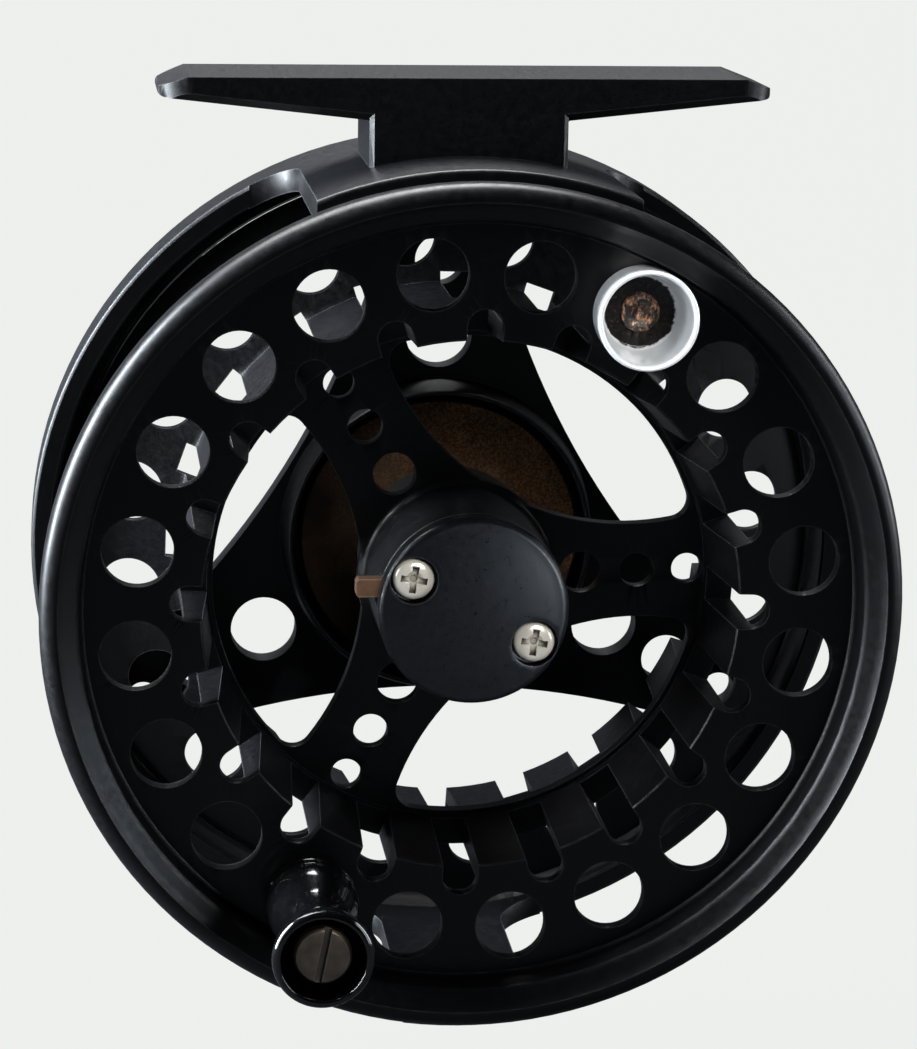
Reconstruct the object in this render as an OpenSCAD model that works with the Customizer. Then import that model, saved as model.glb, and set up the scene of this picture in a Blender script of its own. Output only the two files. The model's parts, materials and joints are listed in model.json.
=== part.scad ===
// Fly reel: palming-rim large-arbor spool on a one-sided frame with a disc drag.
// Origin: centre of the flat top of the reel foot. +Z up (towards the rod),
// +X along the foot, -Y towards the handle side. The spool turns about an axis
// parallel to Y below the foot. Front means the handle side, back the drag side.

/* [Foot] */
// Foot length, tip to tip
foot_len = 62; // [58:0.5:64]
// Foot width across the reel seat
foot_w = 14.3; // [13:0.1:15]
// Foot thickness at the tips
foot_tip_t = 2.1; // [1.6:0.1:2.5]
// Foot thickness beside the pedestal
foot_mid_t = 4.25; // [3.6:0.05:5]
// Pedestal width between foot and frame, measured along the foot
ped_w = 20; // [16:0.5:24]
// Height from the spool axis to the top of the foot
axis_drop = 52; // [51:0.25:54]

/* [Frame] */
// Outer radius of the frame ring and bridges
frame_r = 44.2; // [44:0.1:45]
// Inner radius of the frame ring and bridges
frame_ri = 42; // [41.4:0.05:42]
// Half width of the upper bridge that carries the foot
bridge_hw = 16; // [13:0.5:18]
// Half width of the lower bridge
low_bridge_hw = 6.6; // [5:0.1:9]
// Radius of the fillets where the bridges meet the ring
bridge_fillet = 5; // [3:0.5:6]
// Radius of the inner lightening hole in each arm of the back plate
plate_hole_r = 3.6; // [2.5:0.1:3.8]
// Pitch radius of the inner lightening holes
plate_hole_p = 21.9; // [21.8:0.1:23]

/* [Spool] */
// Outer radius of the palming rim
rim_r = 43.2; // [42.8:0.05:43.5]
// Number of round ports round each flange
ports = 20; // [20:1:20]
// Radius of the ports in the front flange
port_r = 3.6; // [3:0.1:3.9]
// Radius of the ports in the back flange
back_port_r = 3.2; // [2.8:0.1:3.5]
// Pitch radius of the ports, the handle and the counterweight
port_p = 34; // [33.5:0.1:34.2]
// Outer radius of the perforated arbor
arbor_r = 28.9; // [28.5:0.1:29]
// Width of the axial slots in the arbor
slot_w = 3.2; // [2:0.1:3.4]
// Turn of the whole spool from the level position, degrees
spool_turn = 1.5; // [0:0.5:3]
// Radius of the hub
hub_r = 9.6; // [9.4:0.05:9.8]

/* [Handle] */
// Height of the handle knob above the spool face
handle_h = 19.2; // [16:0.1:20]
// Largest radius of the handle knob
handle_r = 5; // [4.5:0.1:5.5]

/* [Drag] */
// Radius of the bronze drag rotor
rotor_r = 15.3; // [14.5:0.1:15.4]
// Spindle radius
spindle_r = 2.5; // [2.5:0.1:2.5]
// Drag knob radius
knob_r = 15.6; // [15:0.1:17]

/* [Hidden] */
$fn = 96;
clearance = 0.06;  // radial running clearance
face_y = -16.15;   // Y of the spool face, ahead of the foot centre
anodised = "#1b1c1f";
steel = "#b9bbbd";
spring_steel = "#8d9094";
brass = "#b08d4f";

/* ---------- helpers ---------- */
// Axis frame: local +Z points out of the handle side and local +Y is up.
// A depth d behind the spool face is z = -d. Turned profiles list [radius, z].
module on_axis() translate([0, face_y, -axis_drop]) rotate([90, 0, 0]) children();
// The axis frame, turned with the spool.
module on_spool() on_axis() rotate(spool_turn) children();
module polar(angle, radius) rotate(angle) translate([radius, 0, 0]) children();

function arc(x, y, radius, from, to, steps) = [for (i = [0:steps])
  let (angle = from + (to - from)*i/steps) [x + radius*cos(angle), y + radius*sin(angle)]];

// Solids between two depths.
module slab(front, back) translate([0, 0, -back]) linear_extrude(back - front) children();
module rod(radius, front, back) translate([0, 0, -back]) cylinder(r = radius, h = back - front);
module ring(inner, outer, front, back) translate([0, 0, -back]) difference() {
  cylinder(r = outer, h = back - front);
  translate([0, 0, -1]) cylinder(r = inner, h = back - front + 2);
}

// Cutter for a cross-slotted screw head.
module cross_slot(length, width, height) for (turn = [0, 90]) rotate(turn)
  translate([-length/2, -width/2, 0]) cube([length, width, height]);

// Rectangles given as [x, y, width, height].
module boxes(list) for (box = list) translate([box[0], box[1]]) square([box[2], box[3]]);

// Window between two arms, centred on +X: an outer arc round the axis, and an inner arc of
// radius inner_r that bulges towards the axis and comes to inner_x from it. The corner
// fillets touch a circle of radius corner_r; the outer edge is drawn at radius edge_r.
module window(edge_r, corner_r, inner_x, inner_r, fillet, edge_steps, inner_steps) {
  inner_c = inner_x + inner_r;
  fillet_x = (pow(corner_r - fillet, 2) - pow(inner_r - fillet, 2) + inner_c*inner_c)/(2*inner_c);
  fillet_y = sqrt(pow(corner_r - fillet, 2) - fillet_x*fillet_x);
  outer_a = atan2(fillet_y, fillet_x);
  inner_a = atan2(fillet_y, fillet_x - inner_c);
  polygon(concat(
    arc(0, 0, edge_r, -outer_a, outer_a, edge_steps),
    arc(fillet_x, fillet_y, fillet, outer_a, inner_a, 8),
    arc(inner_c, 0, inner_r, inner_a, 360 - inner_a, inner_steps),
    arc(fillet_x, -fillet_y, fillet, -inner_a, -outer_a, 8)));
}

/* ---------- frame ---------- */
bridge_front = -1.2;  // depth of the front edge of both bridges, just behind the rim
ring_front = 27.7;    // depth of the ring's front face
plate_front = 34;     // depths of the back plate
plate_back = 37;
lip_r = frame_ri - 2.2;  // inner radius of the ring at the back plate
cup_ri = 16.05;       // inner radius of the drag housing
cup_r = 17.6;
cup_front = 29.2;
floor_front = 35.6;   // depths of the housing floor
floor_back = 38;
drag_pin_r = 1;
drag_pin_p = 11;      // pitch radius of the pressure pins
foot_screw_x = 6;
foot_screw_r = 1.5;

// Plan of a bridge, x against z, with a concave fillet onto the ring at each side.
module bridge_plan(half_w) {
  fillet_x = half_w + bridge_fillet;
  fillet_z = -ring_front + bridge_fillet;
  polygon(concat(
    [[-half_w, -bridge_front], [half_w, -bridge_front], [half_w, fillet_z]],
    arc(fillet_x, fillet_z, bridge_fillet, 180, 270, 24),
    [[fillet_x, -ring_front - 2], [-fillet_x, -ring_front - 2]],
    arc(-fillet_x, fillet_z, bridge_fillet, 270, 360, 24)));
}
// Upright prism of a bridge plan, from local height y.
module bridge(y, half_w) translate([0, y, 0]) rotate([-90, 0, 0]) linear_extrude(30)
  mirror([0, 1]) bridge_plan(half_w);

// Tube the bridges are cut from: its front edge is rounded outside.
module bridge_tube() rotate_extrude($fn = 180) polygon(concat(
  [[frame_ri, -ring_front - 1.5], [frame_r, -ring_front - 1.5], [frame_r, -bridge_front - 0.4]],
  arc(frame_r - 0.4, -bridge_front - 0.4, 0.4, 15, 75, 4),
  [[frame_r - 0.5, -bridge_front], [frame_ri + 0.3, -bridge_front],
   [frame_ri, -bridge_front - 0.3]]));

module frame_ring() rotate_extrude($fn = 180) polygon(concat(
  [[frame_ri, -ring_front - 0.2], [frame_ri + 0.25, -ring_front], [frame_r - 0.4, -ring_front]],
  arc(frame_r - 0.5, -ring_front - 0.5, 0.5, 75, 0, 3),
  arc(frame_r - 3.2, -plate_back + 3.2, 3.2, 0, -90, 8),
  [[lip_r, -plate_back], [lip_r, -plate_front - 0.8], [frame_ri - 1.9, -plate_front - 0.2],
   [frame_ri - 1.2, -plate_front], [frame_ri - 0.4, -plate_front + 0.3],
   [frame_ri, -plate_front + 1.0]]));

// The corner fillets of the windows run just into the ring.
module back_plate() difference() {
  rod(frame_ri - 1, plate_front, plate_back);
  for (angle = [30, 150, 270]) rotate(angle) slab(plate_front - 1, plate_back + 1)
    window(frame_ri - 1.5, lip_r + 0.06, 17.75, 90.3, 2.6, 40, 24);
}

module drag_housing() rotate_extrude() polygon([
  [cup_ri, -cup_front - 0.15], [cup_ri + 0.15, -cup_front], [cup_ri + 0.4, -cup_front],
  [cup_ri + 0.55, -cup_front - 0.2], [17.2, -plate_front], [cup_r, -plate_front - 0.4],
  [cup_r, -floor_back + 0.5], [17.1, -floor_back], [0, -floor_back], [0, -floor_front],
  [cup_ri, -floor_front]]);

// Countersunk screw hole, rising from the spool axis into the upper bridge.
module foot_screw_hole() {
  sink_r = 3.05;
  bore_r = foot_screw_r + 0.05;
  translate([0, 0, 35]) cylinder(r = bore_r, h = 12);
  translate([0, 0, 38.6]) cylinder(r = sink_r, h = 3.2);
  translate([0, 0, 41.8]) cylinder(r1 = sink_r, r2 = bore_r, h = 1.5);
}

module frame() color(anodised) on_axis() difference() {
  union() {
    frame_ring();
    intersection() {
      bridge_tube();
      union() {
        bridge(20, bridge_hw);
        bridge(-50, low_bridge_hw);
      }
    }
    back_plate();
    drag_housing();
  }
  rod(cup_ri, cup_front - 1, floor_front);
  rod(spindle_r, floor_front - 1, floor_back + 1);
  for (angle = [0:120:240]) polar(angle, drag_pin_p)
    rod(drag_pin_r + clearance, floor_front - 1, floor_back + 1);
  // lightening holes of each arm: pitch radius, radius
  for (angle = [90, 210, 330], hole = [[plate_hole_p, plate_hole_r], [30.1, 2.7], [37.2, 1.8]])
    polar(angle, hole[0]) rod(hole[1], plate_front - 1, plate_back + 1);
  for (x = [-foot_screw_x, foot_screw_x])
    translate([x, 0, face_y]) rotate([-90, 0, 0]) foot_screw_hole();
}

/* ---------- foot ---------- */
foot_flat = 28;      // half length of the flat top
foot_nose = 0.62;    // radius of the rounded tips, seen from the side
foot_corner = 3.6;   // radius of the tips' corners, seen from above
foot_bevel = 0.75;   // bevel of the lower long edges
ped_bevel = 0.45;    // bevel of the pedestal's upright corners
ped_depth = 12.6;    // reach of the pedestal below the foot's top
foot_block = 14;     // height of the blocks the foot is cut from
foot_slope = atan((foot_mid_t - foot_tip_t)/(foot_len/2 - ped_w/2 - 0.7));
bevel_z = (foot_mid_t + (ped_w/2 + 0.15)*tan(foot_slope))*cos(foot_slope) - foot_bevel;

module foot_side() {
  tip_x = foot_len/2 - foot_nose;
  tip_z = -foot_tip_t + foot_nose;
  ped_x = ped_w/2;
  polygon(concat(
    [[-foot_flat, 0], [foot_flat, 0]],
    arc(tip_x, tip_z, foot_nose, 45, -84, 6),
    [[ped_x + 0.15, -foot_mid_t], [ped_x, -foot_mid_t - 0.15], [ped_x, -ped_depth],
     [-ped_x, -ped_depth], [-ped_x, -foot_mid_t - 0.15], [-ped_x - 0.15, -foot_mid_t]],
    arc(-tip_x, tip_z, foot_nose, 264, 135, 6)));
}

module foot_plan() {
  x = foot_len/2 - foot_corner;
  y = foot_w/2 - foot_corner;
  polygon(concat(
    arc(-x, -y, foot_corner, 180, 270, 8),
    arc(x, -y, foot_corner, 270, 360, 8),
    arc(x, y, foot_corner, 0, 90, 8),
    arc(-x, y, foot_corner, 90, 180, 8)));
}

// Bar along one half of the foot, with its lower long edges bevelled.
module bevelled_bar() rotate([90, 0, 90]) translate([0, 0, -1]) linear_extrude(40) {
  side = foot_w/2 + 0.1;
  inset = foot_w/2 - foot_bevel;
  polygon([
    [-side, 6], [side, 6], [side, -bevel_z + 0.1], [inset, -bevel_z - foot_bevel],
    [inset, -12], [-inset, -12], [-inset, -bevel_z - foot_bevel], [-side, -bevel_z + 0.1]]);
}

// Block over the pedestal that leaves it at full depth.
module ped_core() translate([0, 0, -foot_block]) linear_extrude(foot_block) {
  x = ped_w/2;
  y = foot_w/2;
  polygon([
    [-x + ped_bevel, -y], [x - ped_bevel, -y], [x, -y + ped_bevel], [x, y - ped_bevel],
    [x - ped_bevel, y], [-x + ped_bevel, y], [-x, y - ped_bevel], [-x, -y + ped_bevel]]);
}

module reel_foot() color(anodised) difference() {
  intersection() {
    translate([0, 10, 0]) rotate([90, 0, 0]) linear_extrude(20) foot_side();
    translate([0, 0, -foot_block]) linear_extrude(foot_block) foot_plan();
    union() {
      // tilted to follow the sloping underside
      for (flip = [0, 1]) mirror([flip, 0, 0]) rotate([0, -foot_slope, 0]) bevelled_bar();
      ped_core();
    }
  }
  on_axis() rod(frame_r, -10, 50);
  for (x = [-foot_screw_x, foot_screw_x])
    translate([x, 0, -13]) cylinder(r = foot_screw_r, h = 8.9);
}

foot_head_r = 2.95;
module foot_screws() color(steel) for (x = [-foot_screw_x, foot_screw_x])
  translate([x, 0, -axis_drop]) difference() {
    union() {
      translate([0, 0, 41.85]) cylinder(r = foot_screw_r, h = 6.0);
      translate([0, 0, 41.82]) cylinder(r1 = foot_head_r, r2 = foot_screw_r, h = 1.44);
      translate([0, 0, 41.5]) cylinder(r = foot_head_r, h = 0.32);
    }
    translate([0, 0, 41]) cross_slot(2.8, 0.5, 1.3);
  }

/* ---------- spindle and drag ---------- */
latch_groove_r = 1.9;   // front groove of the spindle, for the release lever
clip_groove_r = 2.1;
knob_screw_r = 1.22;
rotor_tube_r = 4;
disc_ri = 5.6;          // inner radius of the cork washer and the pressure plate
cork_back = 34.15;      // back faces of the drag stack, front to back
pressure_back = 35.1;
pins_back = 38.55;

module spindle() color(steel) on_axis() rotate_extrude() polygon([
  [0, 0.7], [spindle_r - 0.4, 0.7], [spindle_r, 0.3],
  [spindle_r, -0.85], [latch_groove_r, -0.85], [latch_groove_r, -2.65], [spindle_r, -2.65],
  [spindle_r, -15.15], [clip_groove_r, -15.15], [clip_groove_r, -15.85], [spindle_r, -15.85],
  [spindle_r, -34.4], [4.6, -34.4], [4.6, -floor_front], [spindle_r, -floor_front],
  [spindle_r, -44.0], [spindle_r - 0.4, -44.4],
  [knob_screw_r, -44.4], [knob_screw_r, -38.5], [0, -38.5]]);

module spindle_nut() color(steel) on_axis() difference() {
  translate([0, 0, -40.2]) cylinder(r = 4.62, h = 2.2, $fn = 6);
  rod(spindle_r, 37, 41);
}

module rotor_clip() color(steel) on_axis() difference() {
  ring(clip_groove_r, 3.9, 15.2, 15.8);
  translate([0, -1.3, -16]) cube([5, 2.6, 1]);
}

module cork_washer() color("#a5784a") on_axis() ring(disc_ri, 14.6, 32.55, cork_back);

module drag_rotor() color("#8a6f55") on_axis() rotate_extrude($fn = 144) polygon([
  [spindle_r + clearance, -16], [3.8, -16], [rotor_tube_r, -16.2], [rotor_tube_r, -30.93],
  [rotor_r - 0.3, -30.93], [rotor_r, -31.2], [rotor_r, -31.9], [rotor_r - 0.2, -32.13],
  [spindle_r + clearance, -32.13]]);

gear_teeth = 24;
gear_tooth = [[6.3, -2.2], [6.3, 2.2], [7.0, 6.0], [7.0, 9.0]];  // radius, angle
module click_gear() color(steel) on_spool() rotate(pawl_at - 29.9) difference() {
  slab(25, 26.2) polygon([for (i = [0:gear_teeth - 1], corner = gear_tooth)
    let (angle = i*360/gear_teeth + corner[1]) [corner[0]*cos(angle), corner[0]*sin(angle)]]);
  rod(rotor_tube_r, 24, 28);
}

module pressure_plate() color(steel) on_axis() difference() {
  ring(disc_ri, 15.2, cork_back, pressure_back);
  for (angle = [60:120:300]) polar(angle, drag_pin_p) rod(2.2, 33, 36);
}
module pressure_pins() color(steel) on_axis() for (angle = [0:120:240])
  polar(angle, drag_pin_p) rod(drag_pin_r, pressure_back, pins_back);
module thrust_washer() color(steel) on_axis() ring(9.4, 12.7, pins_back, 39.3);
// Conical spring washer.
module drag_spring() color(spring_steel) on_axis() rotate_extrude() polygon([
  [9.6, -40.62], [9.7, -41.12], [12.5, -39.85], [12.4, -39.35]]);

/* ---------- drag knob ---------- */
knob_front = 38.6;
knob_back = 47.6;
insert_r = 6;
insert_front = 41.2;
knob_cap_r = 8.1;
knob_cap_front = 44.8;  // depth of the cap's seat
knob_flutes = 12;

module drag_knob() color(anodised) on_axis() difference() {
  rotate_extrude($fn = 144) polygon([
    [insert_r, -insert_front], [13.2, -insert_front], [13.2, -knob_front],
    [knob_r - 0.9, -knob_front], [knob_r - 0.4, -knob_front - 0.3],
    [knob_r - 0.1, -knob_front - 0.9], [knob_r, -knob_front - 1.6], [knob_r - 0.1, -45.6],
    [knob_r - 0.6, -46.7], [knob_r - 1.6, -47.35], [knob_r - 2.8, -knob_back],
    [8.4, -knob_back], [knob_cap_r, -47.3], [knob_cap_r, -knob_cap_front],
    [insert_r, -knob_cap_front]]);
  for (i = [0:knob_flutes - 1]) polar(i*360/knob_flutes, knob_r + 1.75)
    rod(2.6, knob_front + 1.3, 50);
}
module knob_insert() color(brass) on_axis()
  ring(spindle_r + clearance, insert_r, insert_front, 44.7);
module knob_screw() color(steel) on_axis() difference() {
  union() {
    rod(knob_screw_r, 39.5, 44.85);
    rotate_extrude($fn = 48)
      polygon([[0, -44.8], [3.0, -44.8], [3.0, -45.3], [2.4, -45.75], [0, -45.9]]);
  }
  translate([0, 0, -47]) cross_slot(2.6, 0.5, 1.8);
}
module knob_cap() color(anodised) on_axis() rotate_extrude($fn = 96) polygon([
  [0, -46.6], [7.4, -46.6], [7.4, -knob_cap_front], [knob_cap_r, -knob_cap_front],
  [knob_cap_r, -47.2], [7.6, -47.6], [5.5, -47.95], [3, -48.15], [0, -48.2]]);

/* ---------- spool ---------- */
web_front = 13;         // depths of the spoked web
web_back = 14.5;
web_r = 26;             // inner radius of the arbor at the web
spoke_window_r = web_r - 0.5;
slot_start = 24;        // radius where the arbor slots begin
front_slot_reach = 6.3; // reach of the slots beyond that radius
rear_slot_reach = 5.9;
rear_slot_front = 15.8; // depth where the rear slots begin
front_slot_r = slot_w/2 + 0.2;
first_port = 6;         // angles in the spool's frame
first_slot = first_port + 8.85;
handle_at = 240;
weight_at = handle_at - 180;
pawl_at = 300;
cap_screw_at = 150;
cap_screw_p = 6.95;
cap_screw_r = 1;
post_r = 1.6;           // handle post, and the counterweight rivet's shank
bush_r = 4.2;
bush_front = 3.4;
bush_back = 9.4;
clutch_r = 7.2;
clutch_front = 17;
hub_back = 24;
pivot_r = 0.7;          // pawl pin and cover rivets
pivot_p = 8.1;

rim_points = concat(
  [[38.85, 0], [39.05, 0.2], [39.2, 0.6], [39.3, 2.85], [39.45, 3.2], [39.8, 3.45],
   [40.6, 3.95], [41.1, 4.3]],
  arc(rim_r - 1.6, 3.05, 1.6, 98, 0, 10),
  [[rim_r, 1.95], [rim_r - 0.1, 1.75], [rim_r - 0.3, 1.62], [41.3, 1.6], [41.2, 1.5],
   [41.2, -0.6], [40.9, -1.05], [40.3, -1.4], [39.6, -1.5]]);
// Back of the front flange, arbor, back flange and the seat of the web.
arbor_points = [
  [29.3, -1.5], [28.95, -1.7], [arbor_r, -2.1], [arbor_r, -25.9], [28.95, -26.35],
  [29.4, -26.6], [40.0, -29.6], [40.35, -29.8], [40.45, -30.15], [40.3, -30.5],
  [39.95, -30.55], [29.2, -27.6], [28.4, -27.4], [27.6, -27.3], [27.5, -27.15],
  [web_r, -web_back - 0.2], [web_r - 0.15, -web_back], [web_r - 0.15, -web_front - 0.1],
  [web_r, -web_front], [web_r + 0.05, -web_front + 0.25]];
module spool_body() rotate_extrude($fn = 180)
  polygon(concat([[27.15, -0.15], [27.3, 0]], rim_points, arbor_points));

module spool_web() difference() {
  rod(spoke_window_r + 0.6, web_front, web_back);
  for (angle = [60, 180, 300]) rotate(angle) slab(web_back - 3, web_back + 1)
    window(spoke_window_r, spoke_window_r, 9.9, 26.8, 2, 30, 30);
}

module hub() rotate_extrude() polygon([
  [0, -0.6], [hub_r - 0.3, -0.6], [hub_r, -0.9], [hub_r, -web_front + 0.8],
  [hub_r + 0.35, -web_front + 0.2], [hub_r + 0.9, -web_front - 0.1],
  [hub_r + 0.9, -web_back + 0.1], [hub_r, -web_back - 0.7], [hub_r, -23.6],
  [hub_r - 0.4, -hub_back], [0, -hub_back]]);

module flange_ports() for (i = [0:ports - 1]) {
  angle = first_port + i*360/ports;
  polar(angle, port_p) {
    if (angle != handle_at && angle != weight_at) rod(port_r, -1, 3);
    if (angle != weight_at) rod(back_port_r, 20, 32);
  }
}

// Front slots with a rounded outer end, and square rear slots.
module arbor_slots() for (i = [0:ports - 1]) rotate(first_slot + i*360/ports) {
  translate([slot_start, -front_slot_r, -web_front + 0.8])
    cube([front_slot_reach - front_slot_r, 2*front_slot_r, web_front + 1]);
  translate([slot_start + front_slot_reach - front_slot_r, 0, 0])
    rod(front_slot_r, -1, web_front - 0.8);
  translate([slot_start, -slot_w/2, -29]) cube([rear_slot_reach, slot_w, 29 - rear_slot_front]);
}

// Pocket of the release lever under the cap, swept through its travel,
// and the bore of the lever's spring.
module lever_pocket() {
  slab(-1.1, 2.9) boxes([
    [-4.6, -3.75, 9.15, 7.5], [2.8, -1.85, 4.0, 5.0],
    [-8.95, -1.75, 6, 3.65], [-12, 0.1, 4.85, 2.9]]);
  translate([6.6, 0.65, -1.75]) rotate([0, 90, 0]) cylinder(r = 1.25, h = 1.9);
}

module at_cap_screws() for (turn = [0, 180]) polar(cap_screw_at + turn, cap_screw_p) children();
// The pawl pin is at turn 0, the cover rivets at 120 and 240.
module at_pivots(turns) for (turn = turns) rotate(pawl_at) polar(turn, pivot_p) children();

module spool() color(anodised) on_spool() difference() {
  union() {
    spool_body();
    spool_web();
    hub();
    for (angle = [handle_at, weight_at]) polar(angle, port_p) rod(4.4, 0, 3.2);
  }
  flange_ports();
  arbor_slots();
  // holes of each spoke: pitch radius, radius
  for (angle = [0, 120, 240], hole = [[24.1, 1.6], [18.8, 1.8], [12.9, 2.2]])
    polar(angle, hole[0]) rod(hole[1], web_front - 2, web_back + 2);
  // hub bores, front to back: spindle, bush seat, relief, clutch seat
  rod(2.75, -1, 10);
  rod(bush_r, bush_front, bush_back);
  rod(4.7, bush_back, clutch_front);
  rod(clutch_r, clutch_front, hub_back + 1);
  rotate(-spool_turn) lever_pocket();
  at_cap_screws() rod(cap_screw_r, -1, 7.5);
  polar(weight_at, port_p) rod(4.12, -1, 1.2);
  for (angle = [handle_at, weight_at]) polar(angle, port_p) rod(post_r, -1, 5);
  at_pivots([0, 120, 240]) rod(pivot_r, 22, 25);
}

/* ---------- bush, clutch and click ---------- */
cage_ri = 4.3;
rollers = 8;
roller_r = 0.8;
roller_p = 4.9;
cover_back = 24.9;

module front_bush() color(brass) on_spool()
  ring(spindle_r + clearance, bush_r, bush_front, bush_back);
module clutch_shell() color(steel) on_spool() ring(5.72, clutch_r, clutch_front, hub_back);
module at_rollers() for (i = [0:rollers - 1]) polar(i*360/rollers, roller_p) children();
module clutch_cage() color("#2d2f33") on_spool() difference() {
  ring(cage_ri, 5.45, 17.2, 23.8);
  at_rollers() rod(roller_r + clearance, 17.8, 23.2);
}
module clutch_rollers() color(steel) on_spool() at_rollers() rod(roller_r, 17.9, 23.1);
module clutch_cover() color(steel) on_spool() difference() {
  ring(cage_ri, 9.2, hub_back, cover_back);
  at_pivots([0, 120, 240]) rod(pivot_r, 23, 26);
}
module click_pawl() color(brass) on_spool() rotate(pawl_at) difference() {
  slab(24.95, 26.15) polygon(concat(
    arc(pivot_p, 0, 1.15, -30, 205, 14),
    [[7.0, -1.7], [6.7, -2.8], [5.72, -3.2], [5.8, -3.45], [6.7, -3.85], [8.3, -3.6],
     [8.95, -3.0]]));
  translate([pivot_p, 0, 0]) rod(pivot_r + clearance, 24, 27);
}
module pawl_pin() color(steel) on_spool() at_pivots([0]) rod(pivot_r, 22, 26.5);
module cover_rivets() color(steel) on_spool() at_pivots([120, 240]) {
  rod(pivot_r, 22, cover_back);
  rod(1.0, cover_back, 25.3);
}
// Thin leaf beside the pawl, and the block that holds it.
module pawl_spring() color(spring_steel) on_spool() rotate(pawl_at) union() {
  slab(25.15, 26) polygon([
    [9.3, 2.9], [9.3, -0.8], [9.02, -2.9], [9.18, -2.9], [9.46, -0.8], [9.46, 2.9]]);
  slab(24.9, 26) polygon([[7.8, 2.2], [9.46, 2.2], [9.46, 2.9], [8.7, 3.2], [7.8, 3.2]]);
}

/* ---------- hub cap, release lever ---------- */
crown_r = hub_r - 0.75;  // radius of the cap's domed top
crown_steps = 12;
module hub_cap() color("#222327") on_spool() difference() {
  rotate_extrude($fn = 144) polygon(concat(
    [[0, -0.6], [hub_r, -0.6], [hub_r, 0.9]],
    arc(hub_r - 0.7, 0.9, 0.7, 10, 80, 5),
    [for (i = [0:crown_steps]) let (radius = crown_r*(1 - i/crown_steps))
      [radius, 2.2 - 0.6*pow(radius/crown_r, 2)]]));
  rod(3.2, -0.9, 1);
  at_cap_screws() {
    rod(2.38, -3, -0.5);
    rod(1.15, -3, 1);
  }
}
module hub_cap_screws() color("silver") on_spool() at_cap_screws() rotate(20) difference() {
  union() {
    rod(cap_screw_r, -0.6, 7);
    rotate_extrude($fn = 64) polygon([
      [0, 0.5], [2.1, 0.5], [2.1, 0.95], [1.95, 1.25], [1.6, 1.45], [1.0, 1.6], [0, 1.65]]);
  }
  translate([0, 0, 0.9]) cross_slot(2.7, 0.7, 1.2);
  translate([0, 0, 0.6]) cylinder(r1 = 0.3, r2 = 0.95, h = 1.1);
}

// Sliding latch: its narrow slot sits in the spindle groove, and pushing the tab
// brings the round hole over the spindle.
lever_travel = 1.6;
latch_r = 1.96;    // half width of the narrow slot
tab_x = -11.25;
module release_lever() color("#6f6258") on_axis() slab(1, 2.5) difference() {
  union() {
    boxes([
      [-4.4, -3.6, 7.2, 7.2], [2.7, -1.7, 2.3, 4.7], [-8.9, -1.6, 4.7, 3.35],
      [tab_x, 1.0, 2.41, 1.85], [-11.7, 1.45, 0.6, 0.95]]);
    for (y = [1.45, 2.4]) translate([tab_x, y]) circle(r = 0.45, $fn = 24);
  }
  circle(r = latch_r, $fn = 48);
  translate([-lever_travel, -latch_r]) square([lever_travel, 2*latch_r]);
  translate([-lever_travel, 0]) circle(r = 2.58, $fn = 48);
}
// Small compression spring along X: part of a ring, twisted through four turns.
module release_spring() color(steel) on_axis() translate([5.05, 0.65, -1.75])
  rotate([0, 90, 0]) linear_extrude(3.35, twist = -360*4, slices = 64, $fn = 16)
    polygon(concat(arc(0, 0, 1.1, 0, 130, 4), arc(0, 0, 0.75, 130, 0, 4)));

/* ---------- counterweight and handle ---------- */
module at_weight() on_spool() polar(weight_at, port_p) children();
module at_handle() on_spool() polar(handle_at, port_p) children();

module counterweight() color("#dfe3e6") at_weight() rotate_extrude($fn = 96) polygon(concat(
  [[1.62, -1.2], [4.1, -1.2], [4.1, 0], [4.7, 0], [4.85, 0.15], [4.85, 3.1], [4.98, 3.7],
   [5.0, 4.7]],
  arc(4.76, 4.85, 0.24, 0, 150, 5),
  [[4.42, 4.5], [4.3, 3.4], [4.1, 1.8], [3.9, 0.4], [3.75, -0.35], [3.5, -0.7],
   [1.62, -0.7]]));
module counterweight_rivet() color("#8d5a35") at_weight() rotate_extrude($fn = 48) polygon([
  [0, -3.9], [2.6, -3.9], [2.6, -3.4], [2.2, -3.2], [post_r, -3.2], [post_r, -0.7],
  [2.0, -0.7], [1.9, -0.35], [1.45, -0.05], [0.9, -0.2], [0.45, -0.62], [0, -0.7]]);

handle_screw_r = 0.8;
handle_bore_r = post_r + clearance;
module handle_post() color(steel) at_handle() difference() {
  union() {
    rod(post_r, 2.8 - handle_h, 3.9);
    rod(2.6, 3.2, 3.9);
  }
  rod(handle_screw_r, -handle_h, -8);
}
module handle_washer() color("#2a2b2e") at_handle() ring(post_r, 3.6, -0.5, 0);

// Grooved base of the knob.
handle_base = [
  [3.7, 0.55], [4.2, 0.75], [4.55, 1.3], [4.7, 2.2], [4.7, 2.75], [4.45, 2.95],
  [4.45, 3.2], [4.7, 3.4], [4.7, 3.85], [4.45, 4.05], [4.45, 4.3], [4.65, 4.5]];
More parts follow.
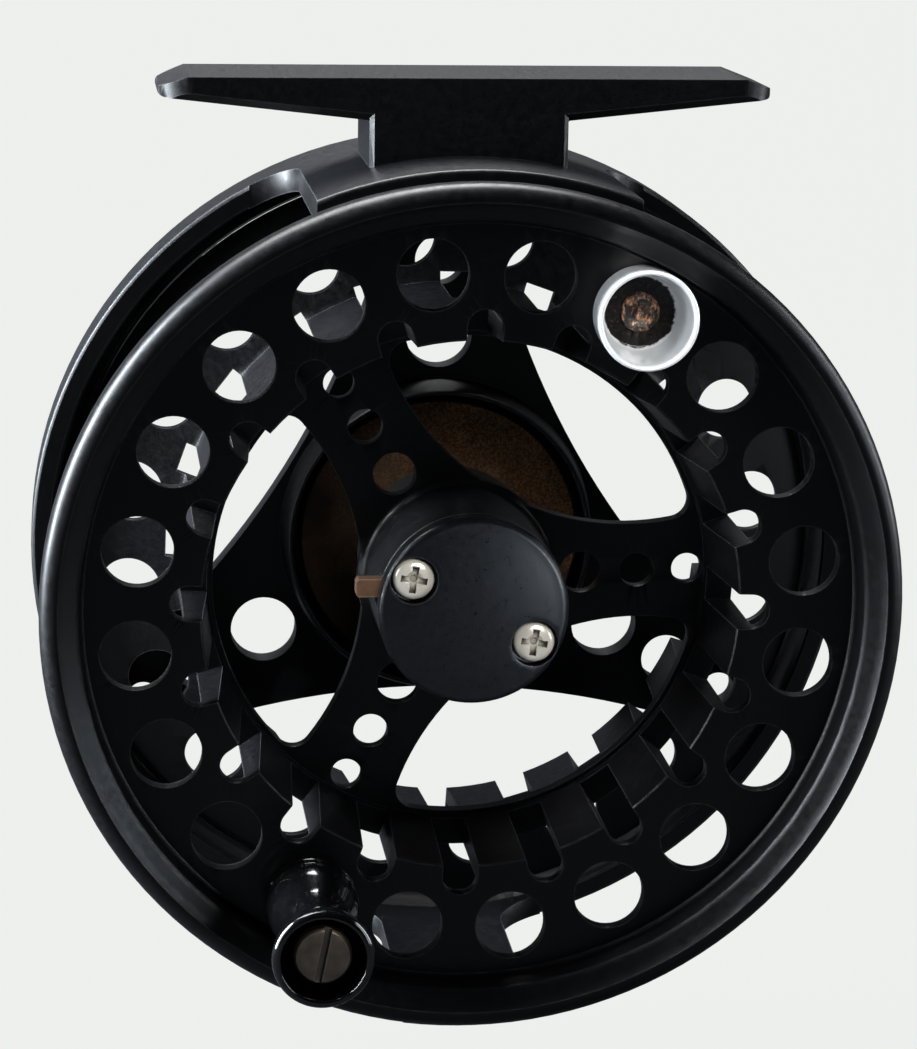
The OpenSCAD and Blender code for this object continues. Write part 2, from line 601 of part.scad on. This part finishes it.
// Waisted grip up to the flared end: radius, fraction of the grip's length.
handle_grip = [
  [4.6, 0.04], [4.35, 0.12], [3.9, 0.21], [3.45, 0.30], [3.15, 0.40],
  [3.02, 0.50], [3.1, 0.60], [3.45, 0.70], [4.05, 0.81], [4.62, 0.91]];
module handle_knob() color("#0c0c0e") at_handle() rotate_extrude($fn = 96) polygon(concat(
  [[handle_bore_r, 0.55]],
  handle_base,
  [for (point = handle_grip) [point[0], 4.5 + point[1]*(handle_h - 6.2)]],
  [[handle_r - 0.08, handle_h - 1.7], [handle_r, handle_h - 1.2]],
  arc(handle_r - 0.7, handle_h - 0.75, 0.7, 0, 85, 5),
  [[4.25, handle_h - 0.08], [4.15, handle_h - 0.3], [4.08, handle_h - 2.55],
   [handle_bore_r, handle_h - 2.55]]));
module handle_screw() color("#7d7468") at_handle() difference() {
  union() {
    rod(handle_screw_r, 2.6 - handle_h, -9);
    translate([0, 0, handle_h]) rotate_extrude($fn = 64) polygon([
      [0, -2.75], [1.5, -2.75], [1.5, -2.45], [2.85, -2.45], [2.85, -1.45], [2.6, -1.2],
      [0, -1.1]]);
  }
  rotate(17.5) translate([-3, -0.35, handle_h - 1.8]) cube([6, 0.7, 2]);
}

frame();
reel_foot();
foot_screws();
spindle();
spindle_nut();
rotor_clip();
cork_washer();
drag_rotor();
click_gear();
pressure_plate();
pressure_pins();
thrust_washer();
drag_spring();
drag_knob();
knob_insert();
knob_screw();
knob_cap();
spool();
front_bush();
clutch_shell();
clutch_cage();
clutch_rollers();
clutch_cover();
click_pawl();
pawl_pin();
cover_rivets();
pawl_spring();
hub_cap();
hub_cap_screws();
release_lever();
release_spring();
counterweight();
counterweight_rivet();
handle_post();
handle_washer();
handle_knob();
handle_screw();
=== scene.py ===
"""A fishing reel in black anodised metal with bare metal, cork and gloss black parts.

Metres, +Z up. The spool axis runs along Y at x = 0, z = SPOOL_AXIS_Z. The camera stands
on the -Y side, so -Y is the front and +X is the right.
"""
import bpy, json, math
from mathutils import Matrix, Vector


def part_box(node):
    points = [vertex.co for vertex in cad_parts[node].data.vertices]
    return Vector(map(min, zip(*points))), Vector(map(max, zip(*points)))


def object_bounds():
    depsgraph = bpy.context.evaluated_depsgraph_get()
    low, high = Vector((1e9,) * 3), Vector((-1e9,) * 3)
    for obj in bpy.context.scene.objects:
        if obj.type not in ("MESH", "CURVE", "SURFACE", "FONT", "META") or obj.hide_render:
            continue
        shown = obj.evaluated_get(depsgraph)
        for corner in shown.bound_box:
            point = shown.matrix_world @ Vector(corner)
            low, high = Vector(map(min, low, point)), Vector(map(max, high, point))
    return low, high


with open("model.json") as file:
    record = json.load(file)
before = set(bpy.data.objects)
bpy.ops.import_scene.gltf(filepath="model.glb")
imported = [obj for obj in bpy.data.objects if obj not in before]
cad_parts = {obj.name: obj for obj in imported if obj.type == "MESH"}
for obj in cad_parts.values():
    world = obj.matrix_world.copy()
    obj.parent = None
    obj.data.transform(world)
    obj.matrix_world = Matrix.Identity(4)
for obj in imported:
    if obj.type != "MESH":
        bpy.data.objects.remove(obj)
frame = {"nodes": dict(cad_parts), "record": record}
cad_box = [list(c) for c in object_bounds()]
nodes = frame["nodes"]
scene = bpy.context.scene

SPOOL_AXIS_Z = -0.052
cup_low, cup_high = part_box("counterweight")
CUP_AXIS_X = 0.5 * (cup_low[0] + cup_high[0])
CUP_AXIS_Z = 0.5 * (cup_low[2] + cup_high[2])


# ---------------------------------------------------------------- node helpers
def scaled(color, factor):
    return tuple(c * factor for c in color)


class Material:
    """A Principled material, with short methods for the nodes that feed it."""

    def __init__(self, name):
        self.data = bpy.data.materials.new(name)
        self.data.use_nodes = True
        self.tree = self.data.node_tree
        self.tree.nodes.clear()
        self.output = self.node("ShaderNodeOutputMaterial")
        self.principled = self.node("ShaderNodeBsdfPrincipled")
        self.feed(self.output.inputs[0], self.principled.outputs[0])

    def feed(self, socket, value):
        """Link a socket into an input, or set the input to a constant."""
        if isinstance(value, bpy.types.NodeSocket):
            self.tree.links.new(value, socket)
        elif socket.type == "RGBA":
            socket.default_value = (*value, 1)
        else:
            socket.default_value = value

    def node(self, kind, inputs=None, **settings):
        node = self.tree.nodes.new(kind)
        for key, value in settings.items():
            setattr(node, key, value)
        for key, value in (inputs or {}).items():
            self.feed(node.inputs[key], value)
        return node

    def set(self, **inputs):
        """Feed the Principled node; underscores stand for the spaces in input names."""
        for key, value in inputs.items():
            self.feed(self.principled.inputs[key.replace("_", " ")], value)

    def object_coords(self):
        return self.node("ShaderNodeTexCoord").outputs["Object"]

    def coords(self, scale=1000.0, stretch=(1, 1, 1)):
        """Object coordinates, in millimetres at the default scale."""
        mapping = self.node("ShaderNodeMapping", {0: self.object_coords()})
        mapping.inputs["Scale"].default_value = scaled(stretch, scale)
        return mapping.outputs[0]

    def noise(self, coords, scale, detail, rough):
        inputs = {"Scale": scale, "Detail": detail, "Roughness": rough, "Vector": coords}
        return self.node("ShaderNodeTexNoise", inputs).outputs["Fac"]

    def ramp(self, value, stops):
        """Stops are (position, color), in rising order."""
        ramp = self.node("ShaderNodeValToRGB", {0: value})
        elements = ramp.color_ramp.elements
        elements[0].position = stops[0][0]
        elements[1].position = stops[-1][0]
        for position, _ in stops[1:-1]:
            elements.new(position)
        for element, (_, color) in zip(elements, stops):
            element.color = (*color, 1)
        return ramp.outputs[0]

    def remap(self, value, span=(0.3, 0.7), to=(0.0, 1.0)):
        """Map span onto to, clamped; the default span is the bulk of a noise's range."""
        inputs = {"From Min": span[0], "From Max": span[1],
                  "To Min": to[0], "To Max": to[1], "Value": value}
        return self.node("ShaderNodeMapRange", inputs).outputs["Result"]

    def mix(self, factor, a, b):
        # inputs 6 and 7 are the colour A and B of the Mix node
        inputs = {"Factor": factor, 6: a, 7: b}
        return self.node("ShaderNodeMix", inputs, data_type="RGBA").outputs[2]

    def math(self, operation, a, b):
        return self.node("ShaderNodeMath", {0: a, 1: b}, operation=operation).outputs[0]

    def add(self, a, b):
        return self.math("ADD", a, b)

    def multiply(self, a, b):
        return self.math("MULTIPLY", a, b)

    def wobble(self, scale, rough, amount):
        """Noise centred on zero, for breaking up a border."""
        noise = self.noise(self.coords(), scale=scale, detail=4.0, rough=rough)
        return self.multiply(self.math("SUBTRACT", noise, 0.5), amount)

    def bump(self, height, strength, distance):
        inputs = {"Strength": strength, "Distance": distance, "Height": height}
        return self.node("ShaderNodeBump", inputs).outputs[0]

    def vector_math(self, operation, inputs):
        return self.node("ShaderNodeVectorMath", inputs, operation=operation)

    def edges(self, radius):
        """1 along convex and concave edges, 0 on faces."""
        bevel = self.node("ShaderNodeBevel", {"Radius": radius}, samples=4)
        normal = self.node("ShaderNodeNewGeometry").outputs["Normal"]
        dot = self.vector_math("DOT_PRODUCT", {0: bevel.outputs[0], 1: normal})
        return self.remap(dot.outputs["Value"], span=(1.0, 0.88))

    def axis_distance(self, x, z):
        """Distance in metres from the line along Y through x, z."""
        offset = self.vector_math("SUBTRACT", {0: self.object_coords(), 1: (x, 0.0, z)})
        flat = self.vector_math("MULTIPLY", {0: offset.outputs[0], 1: (1.0, 0.0, 1.0)})
        return self.vector_math("LENGTH", {0: flat.outputs[0]}).outputs["Value"]


# ---------------------------------------------------------------- stains and painted light
# These layers recolour a surface, some with painted light and painted shade; each takes
# (material, color, metallic) and returns the new color and metallic.
def recess_shade(distance, span, dark):
    """Painted shade darkens slots and cross recesses, found by local occlusion."""
    def stain_and_painted_light(m, color, metallic):
        # painted shade: darker and less metallic where local occlusion is strong
        occlusion = m.node("ShaderNodeAmbientOcclusion", {"Distance": distance},
                           samples=8, only_local=True)
        dark_tone = m.remap(occlusion.outputs["AO"], span=span, to=(1.0, 0.0))
        color = m.mix(dark_tone, color, dark)
        return color, m.remap(dark_tone, span=(0.0, 1.0), to=(metallic, 0.0))
    return stain_and_painted_light


def disc_painted_light(m, color, metallic):
    """Painted light on the bronze: painted shade low and left, brighter and speckled
    towards the upper right.
    """
    place = m.node("ShaderNodeSeparateXYZ", {0: m.object_coords()})
    # painted light: brightness rises to the right of and above the spool axis; the dark
    # colour mixed in below is painted shade
    across = m.multiply(place.outputs["X"], 34.0)
    height = m.multiply(m.add(place.outputs["Z"], -SPOOL_AXIS_Z), 30.0)
    patches = m.wobble(scale=0.16, rough=0.6, amount=1.3)
    bright = m.remap(m.add(m.add(across, height), patches), span=(-0.45, 0.75))
    speckle = m.noise(m.coords(), scale=4.5, detail=2.0, rough=0.7)
    bright = m.multiply(bright, m.remap(speckle, span=(0.42, 0.62), to=(0.25, 1.0)))
    return m.mix(bright, (0.030, 0.021, 0.014), color), metallic


def dark_floor(m, color, metallic):
    """The bottom of the polished cup is coloured dark and mottled; its wall stays bright.
    """
    radius = m.axis_distance(CUP_AXIS_X, CUP_AXIS_Z)
    radius = m.add(radius, m.wobble(scale=1.1, rough=0.65, amount=0.0007))
    floor = m.remap(radius, span=(0.00352, 0.00366), to=(1.0, 0.0))
    floor_mottle = m.noise(m.coords(), scale=2.2, detail=5.0, rough=0.7)
    dark_tone = m.ramp(floor_mottle, [(0.4, (0.004, 0.004, 0.0045)), (0.62, (0.02, 0.016, 0.014)),
                          (0.7, (0.10, 0.07, 0.05))])
    color = m.mix(floor, color, dark_tone)
    return color, m.remap(floor, span=(0.0, 1.0), to=(metallic, 0.1))


def rivet_streaks(m, color, metallic):
    """Rolled rivet head: bright copper streaks over dark patches; sets its own metallic."""
    streaks = m.noise(m.coords(stretch=(1.0, 1.0, 0.55)), scale=1.5, detail=6.0, rough=0.75)
    span = (0.50, 0.60)
    color = m.mix(m.remap(streaks, span=span), (0.006, 0.005, 0.005), color)
    return color, m.remap(streaks, span=span, to=(0.1, 0.55))


# ---------------------------------------------------------------- materials
def anodised(name, dark, light, rough, specular=0.31, grain=0.022):
    """Bead-blasted black anodising: a sparkling fine grain, faint clouds, edges lightened
    partly by rubbing and partly as a painted edge highlight.
    """
    m = Material(name)
    coords = m.coords()
    fine = m.noise(coords, scale=5.5, detail=2.0, rough=0.6)
    mid = m.noise(coords, scale=1.3, detail=4.0, rough=0.6)
    cloud = m.noise(coords, scale=0.06, detail=3.0, rough=0.5)
    grains = m.add(m.multiply(fine, 0.65), m.multiply(mid, 0.35))
    color = m.ramp(grains, [(0.38, dark), (0.62, light)])
    cloudy = m.remap(cloud, span=(0.35, 0.7), to=(0.0, 0.35))
    color = m.mix(cloudy, color, scaled(light, 1.6))
    scuff = m.noise(m.coords(stretch=(0.35, 1.0, 2.2)), scale=1.9, detail=5.0, rough=0.7)
    # lighter, more metallic edges: partly rubbed, partly painted highlight
    edge_wear_and_highlight = m.multiply(m.edges(radius=0.0002),
                      m.remap(scuff, span=(0.38, 0.62), to=(0.25, 1.0)))
    color = m.mix(m.multiply(edge_wear_and_highlight, 0.6), color, (0.16, 0.165, 0.175))
    roughness = m.add(m.remap(mid, to=rough), m.remap(fine, to=(-0.05, 0.05)))
    height = m.add(m.multiply(fine, 1.0), m.multiply(mid, 0.6))
    m.set(Base_Color=color, Roughness=roughness,
          Metallic=m.add(m.multiply(edge_wear_and_highlight, 0.35), 0.0), Specular_IOR_Level=specular,
          Normal=m.bump(height, strength=grain, distance=0.00012))
    return m.data


def metal(name, base, rough, spread=0.06, brushed=0.0, metallic=1.0, tint=None, bump=0.02,
          edge=None, stain_and_painted_light=None):
    """Bare metal, clouded from base to tint, with optional bright edges (partly rubbed,
    partly painted highlight) and lathe lines.
    """
    m = Material(name)
    coords = m.coords()
    fine = m.noise(coords, scale=7.0, detail=3.0, rough=0.6)
    cloud = m.noise(coords, scale=0.5, detail=4.0, rough=0.6)
    color = m.mix(m.remap(cloud), base, tint or scaled(base, 0.82))
    if edge:
        # bright edges: partly rubbed metal, partly painted highlight
        color = m.mix(m.multiply(m.edges(radius=0.00025), 0.7), color, edge)
    roughness = m.remap(fine, to=(rough - spread, rough + spread))
    height = fine
    if brushed:
        # fine lathe lines: rings about the spool axis
        radius_mm = m.multiply(m.axis_distance(0.0, SPOOL_AXIS_Z), 1000.0)
        radial = m.node("ShaderNodeCombineXYZ", {0: radius_mm}).outputs[0]
        rings = m.noise(radial, scale=9.0, detail=4.0, rough=0.8)
        height = m.add(m.multiply(fine, 0.4), m.multiply(rings, brushed))
        roughness = m.add(roughness, m.remap(rings, to=(-0.05, 0.05)))
        lines = m.remap(rings, span=(0.35, 0.65), to=(0.0, 0.35))
        color = m.mix(lines, color, scaled(base, 0.55))
    # optional layer, which may paint light and shade into the colour
    if stain_and_painted_light:
        color, metallic = stain_and_painted_light(m, color, metallic)
    m.set(Base_Color=color, Roughness=roughness, Metallic=metallic,
          Normal=m.bump(height, strength=bump, distance=0.0001))
    return m.data


def plastic(name, dark, light, rough, coat=0.0, grain=0.02):
    """Smudged plastic or lacquer."""
    m = Material(name)
    coords = m.coords()
    fine = m.noise(coords, scale=3.0, detail=4.0, rough=0.6)
    smudge = m.noise(coords, scale=0.25, detail=3.0, rough=0.5)
    color = m.ramp(fine, [(0.35, dark), (0.65, light)])
    roughness = m.remap(smudge, to=(rough * 0.8, rough * 1.3))
    m.set(Base_Color=color, Roughness=roughness, Metallic=0.0, Coat_Weight=coat,
          Coat_Roughness=0.04, Normal=m.bump(fine, strength=grain, distance=0.00008))
    return m.data


def cork(name):
    """Mottled cork with dark pits at the cell centres."""
    m = Material(name)
    coords = m.coords()
    voronoi = m.node("ShaderNodeTexVoronoi", {"Scale": 0.9, "Vector": coords})
    cells = voronoi.outputs["Distance"]
    fine = m.noise(coords, scale=2.5, detail=5.0, rough=0.7)
    color = m.ramp(fine, [(0.3, (0.20, 0.11, 0.05)), (0.5, (0.45, 0.29, 0.15)),
                          (0.7, (0.58, 0.41, 0.24))])
    pits = m.remap(cells, span=(0.0, 0.25), to=(0.6, 0.0))
    color = m.mix(pits, color, (0.13, 0.07, 0.03))
    m.set(Base_Color=color, Roughness=0.85,
          Normal=m.bump(m.add(fine, cells), strength=0.4, distance=0.0002))
    return m.data


# material slot: (recipe, its arguments)
FINISHES = {
    "black_anodised": (anodised, dict(
        dark=(0.0012, 0.0013, 0.0017), light=(0.0038, 0.0039, 0.0047), rough=(0.34, 0.46))),
    "black_anodised_foot": (anodised, dict(
        dark=(0.0013, 0.0013, 0.0016), light=(0.0040, 0.0040, 0.0046), rough=(0.36, 0.48))),
    "black_anodised_spool": (anodised, dict(
        dark=(0.0009, 0.0009, 0.0012), light=(0.0029, 0.0029, 0.0035), rough=(0.32, 0.44))),
    "black_anodised_knob": (anodised, dict(
        dark=(0.0018, 0.0019, 0.0024), light=(0.0055, 0.0056, 0.0066), rough=(0.34, 0.46))),
    "black_anodised_cap": (anodised, dict(
        dark=(0.0016, 0.0018, 0.0024), light=(0.0050, 0.0056, 0.0070), rough=(0.30, 0.37),
        specular=0.40, grain=0.05)),
    "dark_steel": (metal, dict(base=(0.10, 0.10, 0.105), rough=0.34)),
    "polished_steel": (metal, dict(base=(0.62, 0.63, 0.65), rough=0.2, brushed=0.5)),
    "spring_steel": (metal, dict(base=(0.42, 0.43, 0.45), rough=0.28)),
    "cork": (cork, {}),
    # bronze disc: painted light over its face; bright edges partly rubbed and partly
    # painted highlight
    "bronze_disc": (metal, dict(
        base=(0.36, 0.19, 0.095), tint=(0.25, 0.14, 0.075), edge=(0.80, 0.70, 0.55),
        rough=0.42, spread=0.08, brushed=0.45, bump=0.05, stain_and_painted_light=disc_painted_light)),
    "brass_bush": (metal, dict(base=(0.62, 0.46, 0.22), rough=0.24, brushed=0.4)),
    "black_nylon": (plastic, dict(
        dark=(0.012, 0.012, 0.013), light=(0.03, 0.03, 0.032), rough=0.5)),
    # screws: painted shade darkens the cross recesses
    "nickel_screw": (metal, dict(
        base=(0.90, 0.87, 0.79), tint=(0.78, 0.73, 0.62), rough=0.18, bump=0.12,
        metallic=0.45,
        stain_and_painted_light=recess_shade(distance=0.0007, span=(0.50, 0.93), dark=(0.06, 0.048, 0.032)))),
    # lever: bright edges, partly painted highlight
    "lever_bronze": (metal, dict(
        base=(0.22, 0.125, 0.08), tint=(0.13, 0.08, 0.055), edge=(0.50, 0.36, 0.28),
        rough=0.42, bump=0.08, metallic=0.6)),
    "chrome_cup": (metal, dict(
        base=(0.93, 0.955, 0.975), tint=(0.92, 0.945, 0.965), rough=0.16, spread=0.03,
        bump=0.008, metallic=0.22, stain_and_painted_light=dark_floor)),
    "copper_rivet": (metal, dict(
        base=(0.80, 0.42, 0.22), tint=(0.30, 0.15, 0.08), rough=0.3, spread=0.08,
        bump=0.5, stain_and_painted_light=rivet_streaks)),
    "gloss_black_handle": (plastic, dict(
        dark=(0.0012, 0.0012, 0.0014), light=(0.0026, 0.0026, 0.003), rough=0.12,
        coat=0.35, grain=0.006)),
    # handle screw: painted shade darkens the slot; bright edges partly painted highlight
    "handle_screw_steel": (metal, dict(
        base=(0.19, 0.155, 0.125), tint=(0.10, 0.083, 0.067), edge=(0.28, 0.24, 0.2),
        rough=0.36, bump=0.08,
        stain_and_painted_light=recess_shade(distance=0.0009, span=(0.55, 0.92), dark=(0.012, 0.010, 0.008)))),
}
materials = {name: make(name, **settings) for name, (make, settings) in FINISHES.items()}

# ---------------------------------------------------------------- pieces
SMOOTH_ANGLE = math.radians(32)
BEVEL_ANGLE = math.radians(38)
BEVEL_WIDTH = {
    "frame": 0.00022, "spool": 0.00016, "reel_foot": 0.00022, "hub_cap": 0.0001,
    "drag_rotor": 0.00006, "drag_knob": 0.00018, "knob_cap": 0.00012,
    "counterweight": 0.00006, "release_lever": 0.00018, "hub_cap_screws": 0.00005,
    "handle_screw": 0.00008, "spindle_nut": 0.0001, "counterweight_rivet": 0.00008,
}


def add_modifier(piece, name, kind, **settings):
    modifier = piece.modifiers.new(name, kind)
    for key, value in settings.items():
        setattr(modifier, key, value)


def dress(name, piece, material):
    """Give a piece its material, smooth shading and, where listed, rounded edges."""
    piece.data.materials.clear()
    piece.data.materials.append(material)
    for polygon in piece.data.polygons:
        polygon.use_smooth = True
    add_modifier(piece, "weld", "WELD", merge_threshold=2e-6)
    if name in BEVEL_WIDTH:
        add_modifier(piece, "edge_round", "BEVEL", width=BEVEL_WIDTH[name], segments=2,
                     limit_method="ANGLE", angle_limit=BEVEL_ANGLE, use_clamp_overlap=True,
                     harden_normals=False, miter_outer="MITER_ARC")
    with bpy.context.temp_override(object=piece, active_object=piece,
                                   selected_editable_objects=[piece],
                                   selected_objects=[piece]):
        bpy.ops.object.shade_auto_smooth(angle=SMOOTH_ANGLE)
    if name in BEVEL_WIDTH:
        add_modifier(piece, "weighted", "WEIGHTED_NORMAL", keep_sharp=True, weight=100)


slot_of = {part["node"]: part["material_slot"] for part in frame["record"]["subparts"]}
for name, piece in nodes.items():
    dress(name, piece, materials[slot_of[name]])

# ---------------------------------------------------------------- backdrop
PALE = (0.846, 0.862, 0.838)
FLOOR_Z = cad_box[0][2] - 0.012
FLOOR_FRONT_Y, FLOOR_BACK_Y = -1.6, 0.55
CURVE_RADIUS, CURVE_STEPS = 0.45, 16
WALL_TOP_Z = 2.2
HALF_WIDTH = 3.0


def pale_sweep():
    """Evenly lit where the camera sees it; the reel itself sees a dim studio."""
    m = Material("pale_sweep")
    speck = m.noise(m.coords(scale=1.0), scale=300.0, detail=3.0, rough=0.6)
    m.set(Base_Color=m.mix(m.remap(speck), scaled(PALE, 0.99), PALE),
          Roughness=1.0, Specular_IOR_Level=0.0)
    glow = m.node("ShaderNodeEmission", {"Color": PALE, "Strength": 1.0})
    rays = m.node("ShaderNodeLightPath")
    dim = m.node("ShaderNodeBsdfDiffuse", {"Color": (0.035, 0.037, 0.04)})
    seen = m.node("ShaderNodeMixShader",
                  {0: 0.998, 1: m.principled.outputs[0], 2: glow.outputs[0]})
    both = m.node("ShaderNodeMixShader",
                  {0: rays.outputs["Is Camera Ray"], 1: dim.outputs[0], 2: seen.outputs[0]})
    m.feed(m.output.inputs[0], both.outputs[0])
    return m.data


def backdrop():
    """Floor, quarter-round curve and rear wall in one sheet."""
    profile = [(FLOOR_FRONT_Y, FLOOR_Z), (FLOOR_BACK_Y, FLOOR_Z)]  # y, z
    for i in range(1, CURVE_STEPS + 1):
        angle = math.radians(90 * i / CURVE_STEPS)
        profile.append((FLOOR_BACK_Y + CURVE_RADIUS * math.sin(angle),
                        FLOOR_Z + CURVE_RADIUS * (1 - math.cos(angle))))
    profile.append((FLOOR_BACK_Y + CURVE_RADIUS, WALL_TOP_Z))
    verts = [(x, y, z) for y, z in profile for x in (-HALF_WIDTH, HALF_WIDTH)]
    faces = [(2 * i, 2 * i + 1, 2 * i + 3, 2 * i + 2) for i in range(len(profile) - 1)]
    mesh = bpy.data.meshes.new("backdrop")
    mesh.from_pydata(verts, [], faces)
    sweep = bpy.data.objects.new("backdrop", mesh)
    scene.collection.objects.link(sweep)
    for polygon in mesh.polygons:
        polygon.use_smooth = True
    mesh.materials.append(pale_sweep())


backdrop()

# ---------------------------------------------------------------- light
world = bpy.data.worlds.new("studio")
scene.world = world
world.use_nodes = True
background = world.node_tree.nodes["Background"]
background.inputs["Color"].default_value = (0.93, 0.95, 1.0, 1)
background.inputs["Strength"].default_value = 0.006

LIGHT_TARGET = Vector((0.0, 0.0, -0.05))
BARE_METAL = ("hub_cap_screws", "counterweight", "counterweight_rivet", "handle_screw")
# name, location, size, watts, color, the only pieces it reaches (none listed: everything)
LIGHTS = [
    ("top_soft", (-0.15, 0.30, 0.75), (0.9, 0.5), 24.0, (0.99, 0.99, 1.0), ()),
    ("left_strip", (-0.75, 0.03, 0.12), (0.22, 0.8), 56.0, (0.84, 0.92, 1.0), ()),
    ("right_strip", (0.8, 0.03, 0.05), (0.22, 0.8), 6.0, (0.90, 0.95, 1.0), ()),
    ("left_front", (-0.70, -0.26, 0.14), (0.10, 0.5), 2.6, (0.90, 0.95, 1.0), ()),
    ("right_front", (0.62, -0.32, 0.08), (0.14, 0.40), 1.3, (0.80, 0.89, 1.0), ()),
    ("front_fill", (0.22, -0.65, 0.30), (0.30, 0.25), 5.0, (1.0, 0.985, 0.96), BARE_METAL),
    ("disc_fill", (0.10, -0.62, 0.42), (0.30, 0.25), 6.0, (1.0, 0.93, 0.84),
     ("drag_rotor", "release_lever")),
    ("cap_glow", (0.36, -0.55, -0.085), (0.12, 0.10), 3.0, (0.80, 0.89, 1.0), ("hub_cap",)),
]


def area_light(name, location, size, watts, color, receivers):
    data = bpy.data.lights.new(name, "AREA")
    data.shape = "RECTANGLE"
    data.size, data.size_y = size
    data.energy = watts
    data.color = color
    light = bpy.data.objects.new(name, data)
    scene.collection.objects.link(light)
    light.location = location
    toward = LIGHT_TARGET - Vector(location)
    light.rotation_euler = toward.to_track_quat("-Z", "Y").to_euler()
    if receivers:
        reached = bpy.data.collections.new(name + "_only")
        for receiver in receivers:
            reached.objects.link(nodes[receiver])
        light.light_linking.receiver_collection = reached


for light in LIGHTS:
    area_light(*light)

# ---------------------------------------------------------------- camera
AZIMUTH, ELEVATION, ROLL = (math.radians(a) for a in (-6.85, 13.12, 0.93))
DISTANCE = 0.330
AIM = Vector((-0.00159, -0.01615, 0.00862 + SPOOL_AXIS_Z))


def add_camera():
    """Slightly left of and above the front of the reel, a little rolled."""
    back = Vector((math.sin(AZIMUTH) * math.cos(ELEVATION),
                   -math.cos(AZIMUTH) * math.cos(ELEVATION), math.sin(ELEVATION)))
    forward = -back
    level = forward.cross(Vector((0, 0, 1))).normalized()
    upright = level.cross(forward)
    right = level * math.cos(ROLL) + upright * math.sin(ROLL)
    up = -level * math.sin(ROLL) + upright * math.cos(ROLL)
    data = bpy.data.cameras.new("camera")
    data.sensor_fit = "VERTICAL"
    data.sensor_height = 36.0
    data.lens = 113.670429
    data.clip_start, data.clip_end = 0.01, 20.0
    camera = bpy.data.objects.new("camera", data)
    scene.collection.objects.link(camera)
    turn = Matrix((right, up, back)).transposed().to_4x4()
    camera.matrix_world = Matrix.Translation(AIM + back * DISTANCE) @ turn
    scene.camera = camera


add_camera()
scene.view_settings.view_transform = "Standard"
scene.view_settings.look = "None"

bpy.context.view_layer.update()
